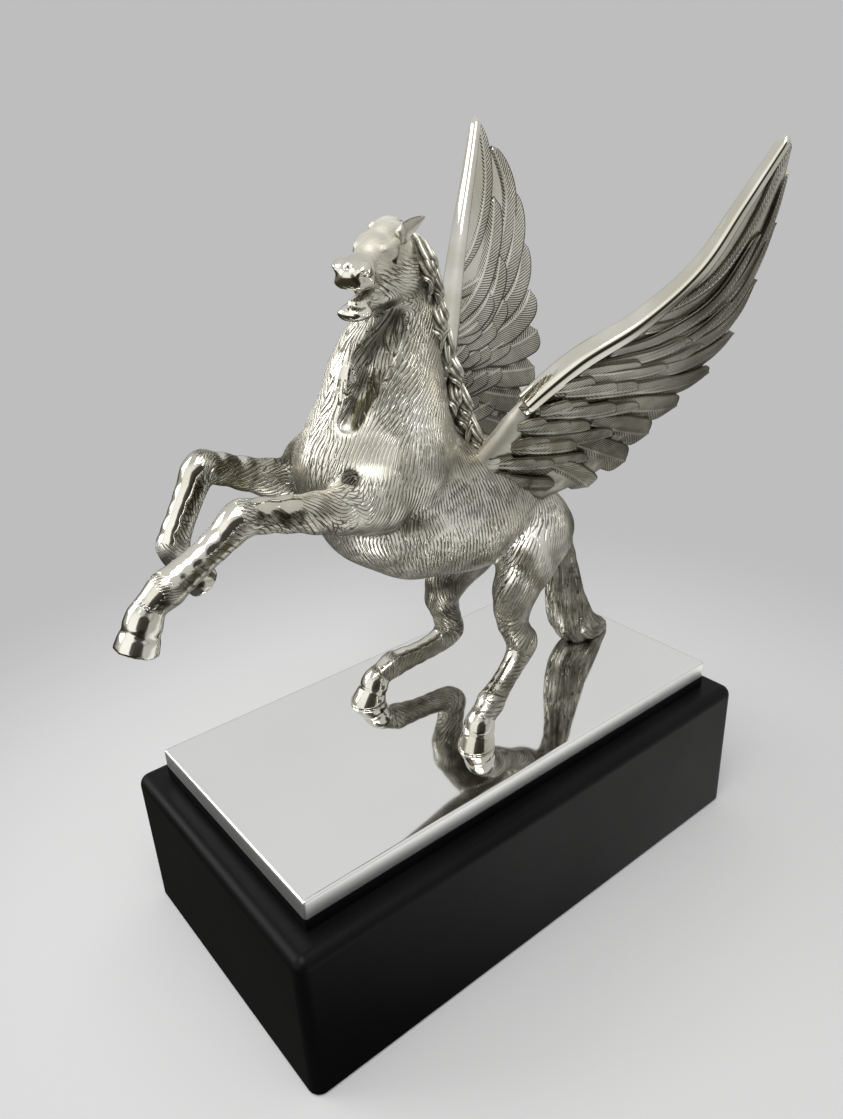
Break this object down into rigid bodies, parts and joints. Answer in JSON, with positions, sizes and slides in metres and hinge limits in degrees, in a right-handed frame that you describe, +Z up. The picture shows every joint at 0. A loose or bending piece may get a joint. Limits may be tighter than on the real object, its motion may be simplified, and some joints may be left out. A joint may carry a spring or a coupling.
{
  "type": "figure trophy",
  "caption": "Figure trophy: a rearing winged horse cast in plated metal, standing on a mirror-bright folded plate over a black board and a black rounded plinth.",
  "frame": {"origin": "centre of the base, on the surface that the trophy stands on", "axes": "+Z up, X along the plinth's long side with the horse facing -X, and the horse's left side towards -Y"},
  "size_m": [0.2187, 0.1312, 0.2618],
  "materials": {
    "plated_casting": "nickel-plated sand casting, chased with hair and feather lines, polished on the high parts",
    "mirror_plate": "mirror polished",
    "black_lacquer": "satin black lacquer",
    "felt": "matt black felt",
    "stud_steel": "zinc plated"
  },
  "bodies": {
    "root": {"plinth": "black_lacquer", "felt_pad": "felt", "riser_board": "black_lacquer", "top_plate": "mirror_plate", "torso": "plated_casting", "left_foreleg": "plated_casting", "right_foreleg": "plated_casting", "left_hind_leg": "plated_casting", "right_hind_leg": "plated_casting", "tail": "plated_casting", "left_wing": "plated_casting", "right_wing": "plated_casting", "left_hoof_stud": "stud_steel", "right_hoof_stud": "stud_steel", "tail_stud": "stud_steel", "stud_washers": "stud_steel", "stud_nuts": "stud_steel"}
  },
  "joints": []
}
